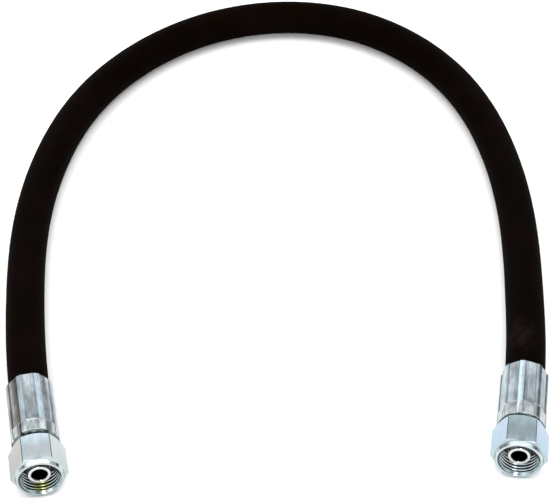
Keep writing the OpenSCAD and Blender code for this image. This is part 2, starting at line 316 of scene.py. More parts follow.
# Mixes the tints of stains into a colour. A stain grows from nothing to its full tint between the two values given,
# which are radii for "above" and "below", stations for "along" and heights over the axis for "low"; the shares and
# "most" are multiplied.
def addStains(tree, place, colour, stains):
    parts = addNode(tree, "SeparateXYZ", {"Vector": place})
    radius = addNode(tree, "VectorMath", {0: addNode(tree, "CombineXYZ", {
        "X": parts.outputs["X"], "Y": parts.outputs["Y"]}).outputs[0]}, operation="LENGTH").outputs["Value"]
    for stain in stains:
        share = stain.get("most", 1.0)
        for measured, limits in ((radius, "above"), (radius, "below"), (parts.outputs["Z"], "along"),
                                 (parts.outputs["Y"], "low")):
            if limits in stain:
                start, end = stain[limits]
                inside = addNode(tree, "MapRange", {"Value": measured, "From Min": start, "From Max": end},
                                 interpolation_type="SMOOTHSTEP").outputs["Result"]
                share = addNode(tree, "Math", {0: share, 1: inside}, operation="MULTIPLY").outputs[0]
        colour = addNode(tree, "Mix", {0: share, 6: colour, 7: linear(stain["tint"])}, data_type="RGBA").outputs[2]
    return colour


# Bright zinc plate, rolled or turned steel plated a few micrometres thick: a cool, slightly blue, satin mirror.
# The marks are painted light: painted shade in corners, gaps and hollows, a face given another tint as painted shade
# and reflection, and painted highlights on ridges. The colour is multiplied by the streaks' shade and by 1 - depth to
# 1 + depth of the rubs.
def zincMaterial(name, tints, faceShadeTints, ridgeHighlightTint, roughness, streakDepth, streakShade, rubShade, edgeTint,
                 stains):
    material, tree, shader = startMaterial(name)
    place = addNode(tree, "Attribute", attribute_name="place").outputs["Vector"]
    noise = {}
    for pattern, own in zincPatterns.items():
        stretched = addNode(tree, "Mapping", {
            "Vector": place, "Scale": (1, 1, own["size"] / own["length"]), "Location": own["shift"]})
        noise[pattern] = addNode(tree, "TexNoise", {
            "Vector": stretched.outputs[0], "Scale": noiseScale(own["size"]), "Detail": own["detail"],
            "Roughness": own["roughness"]}).outputs["Fac"]
    colours = []
    for scale in (tints, faceShadeTints):
        tint = addNode(tree, "ValToRGB", {"Fac": noise["clouds"]})
        ramp = tint.color_ramp
        ramp.elements[0].position, ramp.elements[1].position = noiseLimits["clouds"]
        ramp.elements[0].color, ramp.elements[1].color = linear(scale[0]), linear(scale[-1])
        if len(scale) > 2:
            ramp.elements.new(0.5).color = linear(scale[1])
        colours.append(tint.outputs["Color"])
    # the marks, all painted light: Z a painted highlight on ridges, Y a tint of painted shade and reflection on a face,
    # X painted shade in corners, gaps and hollows
    marks = addNode(tree, "SeparateXYZ", {
        "Vector": addNode(tree, "Attribute", attribute_name="marks").outputs["Vector"]})
    colour = addNode(tree, "Mix", {0: marks.outputs["Z"], 6: colours[0], 7: linear(ridgeHighlightTint)},
                     data_type="RGBA").outputs[2]
    colour = addNode(tree, "Mix", {0: marks.outputs["Y"], 6: colour, 7: colours[1]}, data_type="RGBA").outputs[2]
    colour = addStains(tree, place, colour, stains)
    colour = addNode(tree, "Mix", {0: marks.outputs["X"], 6: colour, 7: linear(zincPlate["paintedShadeTint"])},
                     data_type="RGBA").outputs[2]
    low, high = noiseLimits["shade"]
    shade = addNode(tree, "MapRange", {
        "Value": noise["streaks"], "From Min": low, "From Max": high,
        "To Min": 1 - streakShade, "To Max": 1 + streakShade * zincPlate["streakPale"]}).outputs["Result"]
    depth = addNode(tree, "MapRange", {
        "Value": addNode(tree, "SeparateXYZ", {"Vector": place}).outputs["Z"],
        "From Min": zincPlate["bandStart"][0], "From Max": zincPlate["bandStart"][1],
        "To Min": rubShade, "To Max": rubShade * (1 + zincPlate["bandRubs"])}).outputs["Result"]
    rubs = addNode(tree, "MapRange", {
        "Value": noise["rubs"], "From Min": low, "From Max": high,
        "To Min": addNode(tree, "Math", {0: 1, 1: depth}, operation="SUBTRACT").outputs[0],
        "To Max": addNode(tree, "Math", {0: 1, 1: depth}, operation="ADD").outputs[0]}).outputs["Result"]
    both = addNode(tree, "Math", {0: shade, 1: rubs}, operation="MULTIPLY").outputs[0]
    coloured = addNode(tree, "VectorMath", {0: colour, "Scale": both}, operation="SCALE")
    low, high = noiseLimits["gloss"]
    dull, shiny = zincPlate["streakGloss"]
    gloss = addNode(tree, "MapRange", {
        "Value": noise["streaks"], "From Min": low, "From Max": high,
        "To Min": roughness * dull, "To Max": roughness * shiny})
    relief = addNode(tree, "Bump", {
        "Height": noise["streaks"], "Strength": 1, "Distance": streakDepth * millimetre})
    dents = addNode(tree, "Bump", {
        "Height": noise["clouds"], "Strength": 1, "Distance": streakDepth * zincPlate["dentShare"] * millimetre,
        "Normal": relief.outputs[0]})
    grain = addNode(tree, "TexNoise", {"Vector": place, "Scale": noiseScale(zincPlate["grain"]), "Detail": 1})
    fine = addNode(tree, "Bump", {
        "Height": grain.outputs["Fac"], "Strength": zincPlate["grainStrength"],
        "Distance": zincPlate["grainDepth"] * millimetre, "Normal": dents.outputs[0]})
    setInputs(tree, shader, {
        "Metallic": 1, "Specular Tint": linear(edgeTint), "Base Color": coloured.outputs["Vector"],
        "Roughness": gloss.outputs["Result"], "Normal": fine.outputs[0]})
    return material


# Rings that the lathe leaves: a noise with blobs "pitch" millimetres wide along the axis that hardly changes across
# it ("across" is its scale there), and the factors that it puts on the roughness.
latheRings = {"pitch": 0.08, "across": 0.05, "depth": 0.003, "strength": 0.5, "gloss": (0.7, 1.4)}


# Turned and zinc-plated steel of the nipple: brighter, with fine rings from the lathe round its axis.
def turnedMaterial(name, tint, roughness, stains):
    material, tree, shader = startMaterial(name)
    place = addNode(tree, "Attribute", attribute_name="place").outputs["Vector"]
    squeezed = addNode(tree, "Mapping", {
        "Vector": place, "Scale": (latheRings["across"], latheRings["across"], 1)})
    rings = addNode(tree, "TexNoise", {
        "Vector": squeezed.outputs[0], "Scale": noiseScale(latheRings["pitch"]), "Detail": 2}).outputs["Fac"]
    shiny, dull = latheRings["gloss"]
    gloss = addNode(tree, "MapRange", {"Value": rings, "To Min": roughness * shiny, "To Max": roughness * dull})
    relief = addNode(tree, "Bump", {
        "Height": rings, "Strength": latheRings["strength"], "Distance": latheRings["depth"] * millimetre})
    setInputs(tree, shader, {
        "Metallic": 1, "Base Color": addStains(tree, place, linear(tint), stains),
        "Roughness": gloss.outputs["Result"], "Normal": relief.outputs[0]})
    return material


# A wave over the hose's UV map, sin(2 pi * threads . turns): "threads" counts its crests in one unit each way.
def addWave(tree, threads):
    turns = addNode(tree, "UVMap", uv_map="turns").outputs["UV"]
    count = addNode(tree, "VectorMath", {0: turns, 1: (*threads, 0)}, operation="DOT_PRODUCT").outputs["Value"]
    angle = addNode(tree, "Math", {0: count, 1: 2 * math.pi}, operation="MULTIPLY").outputs[0]
    return addNode(tree, "Math", {0: angle}, operation="SINE").outputs[0]


# Scales are per metre: the rubber's pale bloom has clouds of 11 mm, and its grain is 0.6 mm.
rubber = {"bloomScale": 45, "bloomLimits": (0.42, 0.72), "glossSpread": 0.08, "grainScale": 900, "weaveShare": 0.35,
          "depth": 0.03, "strength": 0.6}


# Black synthetic rubber. The cover was cured in a tight wrap of nylon cloth, which leaves a very fine weave of
# about 0.6 mm; it is drawn at 1.6 mm so that it shows a little. Moulded rubber has the same nodes without it.
def rubberMaterial(name, tint, paleTint, roughness, specular, weave=None, addMarks=None):
    material, tree, shader = startMaterial(name)
    place = addNode(tree, "TexCoord").outputs["Object"]
    bloom = addNode(tree, "TexNoise", {
        "Vector": place, "Scale": rubber["bloomScale"], "Detail": 4, "Roughness": 0.6}).outputs["Fac"]
    low, high = rubber["bloomLimits"]
    share = addNode(tree, "MapRange", {"Value": bloom, "From Min": low, "From Max": high}).outputs["Result"]
    colour = addNode(tree, "Mix", {0: share, 6: linear(tint), 7: linear(paleTint)}, data_type="RGBA").outputs[2]
    if addMarks:
        colour = addMarks(tree, colour)
    gloss = addNode(tree, "MapRange", {
        "Value": bloom, "To Min": roughness - rubber["glossSpread"], "To Max": roughness + rubber["glossSpread"]})
    height = addNode(tree, "TexNoise", {"Vector": place, "Scale": rubber["grainScale"], "Detail": 2}).outputs["Fac"]
    if weave:
        for threads in ((weave, weave), (weave, -weave)):
            height = addNode(tree, "Math", {0: addWave(tree, threads), 1: rubber["weaveShare"], 2: height},
                             operation="MULTIPLY_ADD").outputs[0]
    relief = addNode(tree, "Bump", {
        "Height": height, "Strength": rubber["strength"], "Distance": rubber["depth"] * millimetre})
    setInputs(tree, shader, {
        "Specular IOR Level": specular, "Base Color": colour, "Roughness": gloss.outputs["Result"],
        "Normal": relief.outputs[0]})
    return material


# The tint of drawn wire varies in patches of 3 mm (the scale is per metre), and so does its gloss.
drawnWire = {"patchScale": 160, "gloss": (0.7, 1.3), "depth": 0.05, "strength": 0.8}


# Drawn steel: the braid's brass-coated wires, or the bare spring wire of the retaining rings. A braid's wires are
# about 0.3 mm thick; they are drawn 0.6 mm apart.
def wireMaterial(name, tint, paleTint, roughness, wires=None):
    material, tree, shader = startMaterial(name)
    place = addNode(tree, "TexCoord").outputs["Object"]
    age = addNode(tree, "TexNoise", {"Vector": place, "Scale": drawnWire["patchScale"], "Detail": 3}).outputs["Fac"]
    colour = addNode(tree, "Mix", {0: age, 6: linear(tint), 7: linear(paleTint)}, data_type="RGBA").outputs[2]
    shiny, dull = drawnWire["gloss"]
    gloss = addNode(tree, "MapRange", {"Value": age, "To Min": roughness * shiny, "To Max": roughness * dull})
    setInputs(tree, shader, {"Metallic": 1, "Base Color": colour, "Roughness": gloss.outputs["Result"]})
    if wires:
        relief = addNode(tree, "Bump", {
            "Height": addWave(tree, (wires, wires)), "Strength": drawnWire["strength"],
            "Distance": drawnWire["depth"] * millimetre})
        setInputs(tree, shader, {"Normal": relief.outputs[0]})
    return material


# A fold beside the right ferrule, where the cover was once bent sharply: a thin dark line of painted shade in the
# crease, in a rubbed, paler patch.
# Lengths are in millimetres along the hose and in turns round it; the line moves by "slant" in a turn.
fold = {"place": 636.7, "turn": 0.182, "slant": -46.7, "reach": 0.07, "width": 0.55, "tint": "#010000",
        "patchLength": 12, "patchTurn": 0.17, "patchTint": "#130c0a", "patchRough": 2, "patchLimits": (2, 1.1)}
hoseRound = 2 * math.pi * 8      # the cover's outline, which is one unit of the UV map's first coordinate


# The patch fades out with the distance from its middle, divided by its half sizes and roughened by "patchRough"
# times a noise; the line's distance is at - place - slant * (turn - middle).
def addFold(tree, colour):
    turns = addNode(tree, "UVMap", uv_map="turns").outputs["UV"]
    centred = addNode(tree, "VectorMath", {0: turns, 1: (fold["place"] / hoseRound, fold["turn"], 0)},
                      operation="SUBTRACT").outputs[0]
    spot = addNode(tree, "VectorMath", {0: centred, 1: (hoseRound / fold["patchLength"], 1 / fold["patchTurn"], 0)},
                   operation="MULTIPLY").outputs[0]
    distance = addNode(tree, "VectorMath", {0: spot}, operation="LENGTH").outputs["Value"]
    rough = addNode(tree, "TexNoise", {"Vector": spot, "Scale": 2, "Detail": 3})
    away = addNode(tree, "Math", {0: rough.outputs["Fac"], 1: fold["patchRough"], 2: distance},
                   operation="MULTIPLY_ADD")
    gone, full = fold["patchLimits"]
    share = addNode(tree, "MapRange", {"Value": away.outputs[0], "From Min": gone, "From Max": full},
                    interpolation_type="SMOOTHSTEP").outputs["Result"]
    colour = addNode(tree, "Mix", {0: share, 6: colour, 7: linear(fold["patchTint"])}, data_type="RGBA").outputs[2]
    # the crease's dark line: painted shade
    line = addNode(tree, "VectorMath", {0: centred, 1: (hoseRound, -fold["slant"], 0)}, operation="DOT_PRODUCT")
    near = addNode(tree, "MapRange", {
        "Value": addNode(tree, "Math", {0: line.outputs["Value"]}, operation="ABSOLUTE").outputs[0],
        "From Min": fold["width"], "From Max": fold["width"] * 0.4}).outputs["Result"]
    reach = addNode(tree, "MapRange", {
        "Value": addNode(tree, "Math", {0: addNode(tree, "SeparateXYZ", {"Vector": centred}).outputs["Y"]},
                         operation="ABSOLUTE").outputs[0],
        "From Min": fold["reach"], "From Max": fold["reach"] * 0.6}).outputs["Result"]
    dark = addNode(tree, "Math", {0: near, 1: reach}, operation="MULTIPLY").outputs[0]
    return addNode(tree, "Mix", {0: dark, 6: colour, 7: linear(fold["tint"])}, data_type="RGBA").outputs[2]


# Nitrile cured in a cloth wrap: a deep, matt black with hardly any shine, a little browner where it is dusty.
coverRubber = rubberMaterial("wrappedRubberCover", "#050200", "#090403", 0.75, 0.01, 22, addFold)
# Extruded nitrile: smooth and dark grey, with a soft sheen.
liningRubber = rubberMaterial("extrudedRubberLining", "#1d1a18", "#2a2623", 0.5, 0.3)
# Nitrile moulded in a polished tool: black, with a small clear highlight.
sealRubber = rubberMaterial("mouldedSealRubber", "#141414", "#1e1e1e", 0.35, 0.4)
# High-tensile steel wire with a brass coat: warm gold, in fine parallel ridges.
brassedWire = wireMaterial("brassCoatedWireBraid", "#a58a52", "#c9b27a", 0.3, 60)
# Bare drawn spring wire: a smooth, neutral grey metal.
springWire = wireMaterial("drawnSpringWire", "#8f9598", "#b5babc", 0.25)

# Stains and painted shade: the thread's roots are darkened as painted shade, except at the bottom, where the left
# nut has an olive film of oil; turned ends are paler than drawn flats; the lip's top gets painted light and shade; a
# hexagon's corners and the ferrule's front end, in the gap before the nut, are darkened as painted shade; and the
# ferrule's front band differs from its crimped part.
# painted shade: the thread's roots are darkened, except at the bottom
threadRootShade = {"above": (7.38, 7.48), "below": (8.3, 8.15), "along": (15.7, 15.4), "low": (-7.7, -6.4)}
threadCrests = {"below": (7.42, 7.34), "along": (15.7, 15.4), "tint": "#a4aeb0"}
turnedLip = {"above": (8.1, 8.3), "along": (14.9, 15.05)}
# painted light and shade: the lip's upper half gets its own tint
lipTopShading = {**turnedLip, "low": (1, 5)}
turnedFace = {"above": (8.1, 8.3), "along": (16.4, 16.5)}
# painted shade: dark grey lines along the hexagon's corners
cornerLineShade = {"above": (10.84, 10.88), "along": (15, 14.6), "tint": "#5c6669"}
oilFilm = {"below": (8.3, 8.15), "along": (16.2, 15.4), "low": (-6.3, -7.5), "tint": "#989a4a", "most": 0.9}
frontBand = {"above": (8.3, 8.8), "along": (-7.1, -6.3), "tint": "#bdbebb", "most": 0.45}
# painted shade: the ferrule's front end, in the gap before the nut, is darkened
frontEndShade = {"above": (7.7, 8.1), "below": (9.3, 9.15)}
leftFrontShade = {**frontEndShade, "along": (-1.1, -0.95), "tint": "#6c746f"}
rightFrontShade = {**frontEndShade, "along": (-0.2, -0.05), "tint": "#5a625f"}
zinc = {
    # Zinc plate pressed by the dies: streaked blue-grey flats between ridges with a painted highlight, painted shade in
    # the corners and at the front end, and faces tinted as painted shade and reflection.
    "leftFerrule": zincMaterial(
        "crimpedZincPlateLeft", ("#858e91", "#a1abae", "#bac2c9"), ("#676460", "#8f8e8a"), "#b2c2c8", 0.2, 0.02, 0.16,
        0.14, "#dfe3e5", [frontBand, leftFrontShade]),
    "rightFerrule": zincMaterial(
        "crimpedZincPlateRight", ("#869196", "#a0abb0", "#b8c5cb"), ("#7f858b", "#96959a"), "#bccdd4", 0.2, 0.02, 0.16,
        0.12, "#dfe3e5", [frontBand, rightFrontShade]),
    # Zinc plate on drawn hexagon bar: smooth and paler, so that each flat mirrors one part of the room. Each flat gets
    # its own tint as painted shade and reflection, and the lip, corners, thread roots and countersink get painted
    # shade.
    "leftNut": zincMaterial(
        "drawnHexagonZincPlateLeft", ("#9fb7be", "#a9bcc1", "#b5bbc1"), ("#8c908b", "#969793"), "#a6b1b6", 0.15, 0.012,
        0.04, 0.012, "#ffffff", [{**turnedLip, "tint": "#a7b1b0"}, {**lipTopShading, "tint": "#acb4b5"}, cornerLineShade,
                                threadCrests, {**threadRootShade, "tint": "#1d2411"}, oilFilm]),
    "rightNut": zincMaterial(
        "drawnHexagonZincPlateRight", ("#9fb4ba", "#a7bcc2", "#b0c1c9"), ("#85a7b2", "#969fb9"), "#a7bcc2", 0.15,
        0.012, 0.04, 0.012, "#ffffff", [{**turnedLip, "tint": "#a9b4b2"}, {**lipTopShading, "tint": "#8d9698"},
                                       {**turnedFace, "tint": "#b0babd"}, cornerLineShade,
                                       {**threadCrests, "tint": "#bcc6c8"}, {**threadRootShade, "tint": "#1c252b"}]),
    # Zinc plate on turned steel: the brightest, nearly white. Painted shade darkens the inside of its bore, and the
    # chamfer at its mouth except at its bottom, where the highlight falls.
    "nipple": turnedMaterial("turnedZincPlate", "#c2c6c4", 0.14, [
        # painted shade: the chamfer at the bore's mouth is grey except at its bottom, and the bore inside is nearly
        # black
        {"below": (3.33, 3.25), "low": (-3.1, -2.9), "tint": "#8c8c8c"},
        {"below": (3.1, 3.02), "along": (14.1, 13.8), "tint": "#202020"}]),
}
print("materials made")

hose = {
    "axisHeight": 9.5,           # of both fittings
    "radii": (4, 5.5, 6.1, 6.5, 7.1, 8),     # bore, lining, inner braid, insulation, outer braid, cover
    "squeezedBore": 4.45,        # round the nipple's tail
    "rimRadius": 7.9,            # of the cover where it enters a ferrule
    "endRadius": 7.55,           # and at its end
    "endStation": -5.7,          # where it butts against the nipple's collar
    "settle": 95,                # length over which it comes down from a ferrule to the surface
    "swell": 7,                  # length over which it regains its full size behind a ferrule
    "step": 0.8,
    "innerStep": 5,
    "pathStep": 4,               # between the points that the cord is given
    "columns": 72,
    "carriers": 10,              # strands of the braid each way
    "braidPitch": 30,
    "braidRelief": 0.12,
}

# The route on the surface, from the left ferrule to the right one, in metres.
freeRoute = [
    (-0.105, 0.069), (-0.108, 0.118), (-0.1035, 0.168), (-0.089, 0.215), (-0.064, 0.2515), (-0.032, 0.275),
    (0.0055, 0.2835), (0.036, 0.277), (0.063, 0.258), (0.0845, 0.2275), (0.0995, 0.180), (0.1045, 0.125),
    (0.1025, 0.075),
]


# Lengths along a line of points, from its start to each of them: the sum of the distances so far.
def runLength(points):
    return np.concatenate([[0], np.cumsum(np.linalg.norm(np.diff(points, axis=0), axis=1))])


# A smooth curve through points with given directions at both ends: between two points it is the cubic with the
# slopes that make the curvature continuous at every point. The knots are moved to the arc lengths in a few passes,
# each with "finer" samples to a step.
def smoothCurve(points, startSlope, endSlope, step, passes=4, finer=4):
    knots = runLength(points)
    for _ in range(passes):
        h = np.diff(knots)
        count = len(points)
        system, right = np.eye(count), np.zeros_like(points)
        right[0], right[-1] = startSlope, endSlope
        for i in range(1, count - 1):
            system[i, i - 1:i + 2] = 1 / h[i - 1], 2 / h[i - 1] + 2 / h[i], 1 / h[i]
            right[i] = 3 * ((points[i] - points[i - 1]) / h[i - 1] ** 2 + (points[i + 1] - points[i]) / h[i] ** 2)
        slopes = np.linalg.solve(system, right)
        at = np.linspace(0, knots[-1], int(knots[-1] / step * finer))
        k = np.clip(np.searchsorted(knots, at, side="right") - 1, 0, count - 2)
        t = ((at - knots[k]) / h[k])[:, None]
        hk = h[k][:, None]
        curve = ((1 + 2 * t) * (1 - t) ** 2 * points[k] + t * (1 - t) ** 2 * hk * slopes[k]
                 + t ** 2 * (3 - 2 * t) * points[k + 1] + t ** 2 * (t - 1) * hk * slopes[k + 1])
        length = runLength(curve)
        knots = np.interp(knots, at, length)
    even = np.linspace(0, length[-1], int(length[-1] / step) + 1)
    return np.stack([np.interp(even, length, curve[:, i]) for i in range(curve.shape[1])], axis=1)


def smoothStep(t):
    t = np.clip(t, 0, 1)
    return t * t * (3 - 2 * t)


# The hose's centreline in metres, from its end in the left ferrule to its end in the right one, with the lengths
# along it at which it leaves the left rim and reaches the right one.
def hoseLine():
    step = hose["step"] * millimetre
    rims = {side: fittings[side]["front"] + fittings[side]["outward"] * fittings[side]["rim"] * millimetre
            for side in ("left", "right")}
    flat = smoothCurve(np.array([rims["left"][:2], *freeRoute, rims["right"][:2]]),
                       -fittings["left"]["outward"][:2], fittings["right"]["outward"][:2], step)
    run = runLength(flat)
    lift = (hose["axisHeight"] - hose["radii"][-1]) * millimetre
    settle = hose["settle"] * millimetre
    height = hose["radii"][-1] * millimetre + lift * (
        2 - smoothStep(run / settle) - smoothStep((run[-1] - run) / settle))
    free = np.column_stack([flat, height])
    parts = []
    for side, rim in rims.items():
        end = fittings[side]["front"] + fittings[side]["outward"] * hose["endStation"] * millimetre
        share = np.linspace(0, 1, int(np.linalg.norm(end - rim) / step) + 1)[:-1, None]
        parts.append(end + (rim - end) * share)
    line = np.concatenate([parts[0], free, parts[1][::-1]])
    return line, len(parts[0]), len(parts[0]) + len(free) - 1


line, leftRim, rightRim = hoseLine()
lineLength = runLength(line) / millimetre
freeLength = lineLength[rightRim] - lineLength[leftRim]
print("hose: free length %.1f mm, whole length %.1f mm" % (freeLength, lineLength[-1]))


# Radius of one of the hose's six surfaces at lengths along it. Outside the ferrules it is the free one; inside,
# the wall is squeezed between the nipple's tail and the ferrule, from the rim's radius to the end's.
def surfaceRadius(k, at):
    free, bore = hose["radii"], hose["squeezedBore"]
    leftDepth, rightDepth = lineLength[leftRim], lineLength[-1] - lineLength[rightRim]
    inward = np.maximum((lineLength[leftRim] - at) / leftDepth, (at - lineLength[rightRim]) / rightDepth)
    outer = hose["rimRadius"] + (hose["endRadius"] - hose["rimRadius"]) * np.clip(inward, 0, 1)
    squeezed = bore + (free[k] - free[0]) / (free[-1] - free[0]) * (outer - bore)
    outside = np.minimum(at - lineLength[leftRim], lineLength[rightRim] - at) / hose["swell"]
    return squeezed + (free[k] - squeezed) * smoothStep(outside)


# Relief of a braid: ten strands wind each way and cross like a basket. Every strand is a half-sine ridge, and at
# a crossing the one on top changes like the squares of a chessboard.
def braidRelief(at, turn):
    one = hose["carriers"] * (turn + at / hose["braidPitch"])
    other = hose["carriers"] * (turn - at / hose["braidPitch"])
    over = (np.floor(one) + np.floor(other)) % 2 == 0
    ridge = np.sqrt(np.abs(np.sin(math.pi * np.where(over, one, other))))
    return hose["braidRelief"] * (ridge - 1)


# The helical edge that the wrapping cloth has left in the cover.
wrap = {"pitch": 46, "width": 1.4, "height": 0.05}


def coverRelief(at, turn):
    share = (at / wrap["pitch"] - turn) % 1
    edge = np.minimum(share, 1 - share) * wrap["pitch"] / wrap["width"]
    return -wrap["height"] * (1 - np.exp(-edge ** 2)) * 0.5


# One layer of the hose. Its outer surface runs forwards in fine steps and its inner one back in coarse steps:
# point = centreline + radius (cos turn * sideways + sin turn * upwards).
def hoseLayer(name, k, node, material, relief=None):
    tangent = np.gradient(line, axis=0)
    tangent /= np.linalg.norm(tangent, axis=1, keepdims=True)
    sideways = np.cross(tangent, [0, 0, 1.0])
    sideways /= np.linalg.norm(sideways, axis=1, keepdims=True)
    upwards = np.cross(sideways, tangent)
    outward = np.arange(len(line))
    coarse = max(1, round(hose["innerStep"] / hose["step"]))
    inward = np.unique(np.r_[outward[::coarse], leftRim, rightRim, outward[-1]])[::-1]
    turn = np.linspace(0, 1, hose["columns"] + 1)
    rows = np.concatenate([outward, inward])
    at = lineLength[rows][:, None]
    isOuter = (np.arange(len(rows)) < len(outward))[:, None]
    radius = np.where(isOuter, surfaceRadius(k + 1, at), surfaceRadius(k, at)) + np.zeros((1, hose["columns"]))
    if relief is not None:
        radius = radius + np.where(isOuter, relief(at, turn[None, :-1]), 0)
    angle = 2 * math.pi * turn[None, :-1, None]
    points = line[rows][:, None, :] + radius[..., None] * millimetre * (
        np.cos(angle) * sideways[rows][:, None, :] + np.sin(angle) * upwards[rows][:, None, :])
    roundTurns = np.concatenate([at[:, 0], at[:1, 0]]) / (2 * math.pi * hose["radii"][-1])
    return gridPiece(name, points, "hose", node, material, uv=(roundTurns, turn))


lining = hoseLayer("hose_lining_extruded", 0, "hose_inner_tube", liningRubber)
innerBraid = hoseLayer("hose_inner_braid_woven", 1, "hose_inner_braid", brassedWire, braidRelief)
insulation = hoseLayer("hose_insulation_layer", 2, "hose_insulation", liningRubber)
outerBraid = hoseLayer("hose_outer_braid_woven", 3, "hose_outer_braid", brassedWire, braidRelief)
cover = hoseLayer("hose_cover_wrapped", 4, "hose_cover", coverRubber, coverRelief)
print("hose laid")

ferrule = {
    "radius": 9.5,
    "ridge": 9.4,                # radius of the ridges between the dies
    "dies": 8,
    "dieWidth": 4.9,
    "crimpFlat": 8.85,           # half across the crimp flats
    "hollow": 0.7,               # how far a die's face follows the round: 0 is flat, 1 is round
    "cornerWidth": 0.2,
    "bandFlat": 9.25,            # half across the flats of the front band
    "bandLength": 6.1,
    "ledgeLength": 1.1,
    "edge": 0.3,
    "boreRadius": 7.6,
    "rimBore": 7.966,
    "gripDepth": 0.35,
    "gripPitch": 3.4,
    "gripShare": 0.6,
    "flange": 4,
    "flangeBore": 4.75,
    "innerEdge": 0.12,           # how far the corners of the bore are rounded
    "blend": 0.08,               # width over which two surfaces melt into each other
    "dieEdge": 0.22,             # width of the step beside a flat
    # bandFade: how much less painted shade in the corners, painted shade and reflection on the faces, and painted
    # highlight on the ridges the front band gets; the next line calls these dirty, worn and bright
    "bandFade": (0.1, 0.6, 0.3),     # how much less dirty, worn and bright the front band is
    "columns": 384,
}


# The lesser of two values, with the corner between them rounded over a width: min(a, b) - h^2 width / 4, where h
# is how far the two are within the width of each other.
def softMin(a, b, width):
    h = np.maximum(width - np.abs(a - b), 0) / width
    return np.minimum(a, b) - h * h * width / 4


# The ferrule's outer radius. A die presses the sleeve to height / cos(angle from its middle)^(1 - hollow) over its
# width, and between two dies the sleeve stands up as a ridge with steep sides. The pressed part rises over the
# ledge to the front band, and both ends are bevelled. Also gives the marks, all painted light: painted shade in the
# corner beside a ridge, share of that corner * exp(-(distance / width)^2), a tint of painted shade and reflection on
# each die's face and ridge, and painted highlights on the ridges.
def ferruleRadius(side, station, angle):
    sector = 2 * math.pi / ferrule["dies"]
    turned = angle + math.radians(fittings[side]["crimpTurn"])
    fromFlat = (turned + sector / 2) % sector - sector / 2
    rise = smoothStep((station + ferrule["bandLength"] + ferrule["ledgeLength"]) / ferrule["ledgeLength"])
    flat = ferrule["crimpFlat"] + (ferrule["bandFlat"] - ferrule["crimpFlat"]) * rise
    sleeve = ferrule["ridge"] + (ferrule["radius"] - ferrule["ridge"]) * rise + 0 * angle
    pressed = np.minimum(sleeve, flat / np.cos(fromFlat) ** (1 - ferrule["hollow"]))
    aside = np.abs(ferrule["radius"] * np.sin(fromFlat)) - ferrule["dieWidth"] / 2
    radius = pressed + (sleeve - pressed) * smoothStep(aside / ferrule["dieEdge"] + 0.5)
    behind = station - fittings[side]["rim"]
    before = fittings[side]["ferruleFront"] - station
    inner = ferrule["radius"] - ferrule["edge"]
    radius = softMin(softMin(radius, inner + behind, ferrule["blend"]), inner + before, ferrule["blend"])
    corner = np.floor(turned / sector * 2).astype(int) % (2 * ferrule["dies"])
    face = np.round(turned / sector).astype(int) % ferrule["dies"]
    inCorner = np.exp(-((aside + ferrule["dieEdge"] / 2) / ferrule["cornerWidth"]) ** 2)
    ridge = smoothStep(aside / ferrule["dieEdge"] + 0.5)
    between = np.floor(turned / sector).astype(int) % ferrule["dies"]
    paintedShades, faceShades, ridgeShade, ridgeHighlights = (
        np.array(fittings[side][mark]) for mark in ("paintedShade", "faceShade", "ridgeShade", "ridgeHighlight"))
    marks = (paintedShades[corner] * inCorner, faceShades[face] * (1 - ridge) + ridgeShade[between] * ridge,
             ridgeHighlights[between] * ridge)
    marks = [mark * (1 - fade * rise) for mark, fade in zip(marks, ferrule["bandFade"])]
    return radius, np.stack(np.broadcast_arrays(*marks), axis=-1)


def ferrulePiece(side):
    rim, front = fittings[side]["rim"], fittings[side]["ferruleFront"]
    ledge = -ferrule["bandLength"] - ferrule["ledgeLength"]
    # closer rows at both ends and over the ledge
    stations = np.unique(np.concatenate([
        np.linspace(rim, rim + 1, 18), np.linspace(rim + 1, ledge - 0.4, 26), np.linspace(ledge - 0.4, ledge + 1.2, 22),
        np.linspace(ledge + 1.2, front - 1, 10), np.linspace(front - 1, front, 18)]))
    angle = np.linspace(0, 2 * math.pi, ferrule["columns"], endpoint=False)[None, :]
    outside, marks = ferruleRadius(side, stations[:, None], angle)
    opening = (ferrule["rimBore"] - ferrule["boreRadius"]) / (hose["endStation"] - rim)
    grooves = int((hose["endStation"] - rim) / ferrule["gripPitch"]) - 1

    def boreAt(z):
        return ferrule["boreRadius"] + opening * (hose["endStation"] - z)

    inside = [(ferrule["flangeBore"], front), (ferrule["flangeBore"], -ferrule["flange"]),
              (ferrule["boreRadius"], -ferrule["flange"]), (ferrule["boreRadius"], hose["endStation"])]
    for i in range(1, grooves + 1):
        back = hose["endStation"] - i * ferrule["gripPitch"]
        crest = back + ferrule["gripShare"] * ferrule["gripPitch"]
        inside += [(boreAt(crest), crest), (boreAt(back) + ferrule["gripDepth"], back), (boreAt(back), back)]
    inside.append((boreAt(rim), rim))
    inside = roundOutline(np.array(inside, float), [ferrule["innerEdge"]] * len(inside), 4)
    radius = np.concatenate([outside, np.broadcast_to(inside[:, :1], (len(inside), ferrule["columns"]))])
    station = np.concatenate([stations, inside[:, 1]])[:, None]
    points, own = placeOnFitting(side, radius, station, angle)
    marks = np.concatenate([marks, np.zeros((len(inside), ferrule["columns"], 3))])
    return gridPiece(side + "_ferrule_crimped", points, "hose", side + "_ferrule",
                     zinc[side + "Ferrule"], place=own, marks=marks)


